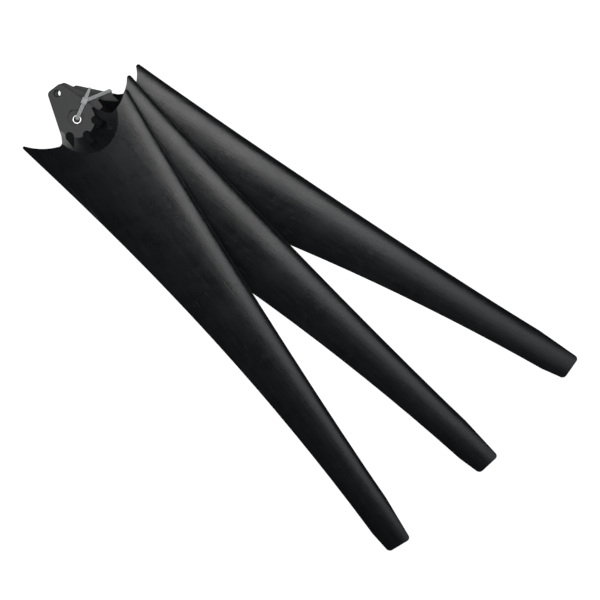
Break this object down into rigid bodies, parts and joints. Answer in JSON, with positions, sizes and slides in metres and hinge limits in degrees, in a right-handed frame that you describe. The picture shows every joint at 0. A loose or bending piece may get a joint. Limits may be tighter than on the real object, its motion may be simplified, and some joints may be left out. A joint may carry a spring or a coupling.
{
  "type": "wind turbine blade set",
  "caption": "Moulded nylon blades of a small wind turbine, stacked at their flat root tabs, fanned, and strung on a cable tie through a steel bush in each tab.",
  "frame": {"origin": "centre of the front blade's end hole, at the face of its root tab", "axes": "+Z out of the front tab's face, along the end hole; +X along the front blade to its tip; +Y towards its leading edge"},
  "size_m": [0.5842, 0.3211, 0.0606],
  "materials": {
    "black_nylon": "satin, glass-fibre filled, fine moulded grain",
    "bush_steel": "bright turned steel",
    "white_nylon": "milky natural nylon"
  },
  "bodies": {
    "front": {"blade_front": "black_nylon", "bush_front": "bush_steel", "cable_tie": "white_nylon"},
    "middle": {"blade_middle": "black_nylon", "bush_middle": "bush_steel"},
    "rear": {"blade_rear": "black_nylon", "bush_rear": "bush_steel"}
  },
  "joints": [
    {"name": "middle_swing", "type": "hinge", "parent": "front", "child": "middle", "pos_m": [0.0342, 0.0104, -0.0105], "axis": [0, 0, 1], "range_deg": [-11.85, 15], "deforming": ["cable_tie"]},
    {"name": "rear_swing", "type": "hinge", "parent": "middle", "child": "rear", "pos_m": [0.0427, 0.0264, -0.021], "axis": [0, 0, 1], "range_deg": [-12.25, 15], "deforming": ["cable_tie"]}
  ]
}
